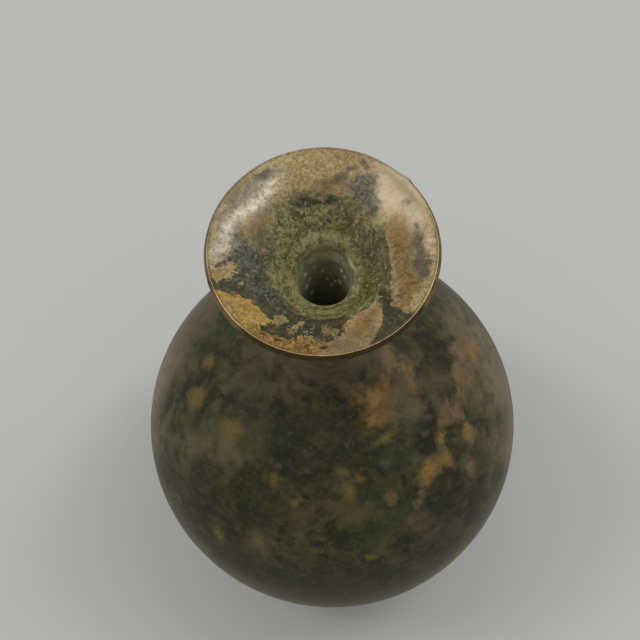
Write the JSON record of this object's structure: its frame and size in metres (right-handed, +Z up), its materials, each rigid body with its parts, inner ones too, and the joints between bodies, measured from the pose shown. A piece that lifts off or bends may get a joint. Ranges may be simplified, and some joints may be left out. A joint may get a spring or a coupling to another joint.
{
  "type": "bronze hu vessel",
  "caption": "Small-mouthed bottle vessel: a dished trumpet mouth on a long narrow neck, a hollow globular body and a splayed foot ring, for wine or a flower stem.",
  "frame": {"origin": "on the table, at the centre of the foot ring", "axes": "+Z up along the vessel's axis of symmetry, out of the mouth"},
  "size_m": [0.133, 0.133, 0.22],
  "materials": {
    "mouth_bronze": "satin cast bronze, worn to tan and gold metal between dark green patina",
    "neck_bronze": "satin cast bronze with a brown patina",
    "body_bronze": "satin cast bronze with a dark green-black patina, brown shoulders and tan worn streaks",
    "foot_bronze": "satin cast bronze with a dark patina, rubbed at the edges",
    "base_bronze": "matt cast bronze with a dark patina",
    "solder": "dull grey soft solder"
  },
  "bodies": {
    "root": {"mouth_dish": "mouth_bronze", "neck_tube": "neck_bronze", "shoulder_shell": "body_bronze", "belly_shell": "body_bronze", "foot_ring": "foot_bronze", "base_disc": "base_bronze", "mouth_solder": "solder", "neck_solder": "solder", "belly_solder": "solder", "base_solder": "solder", "foot_solder": "solder"}
  },
  "joints": []
}
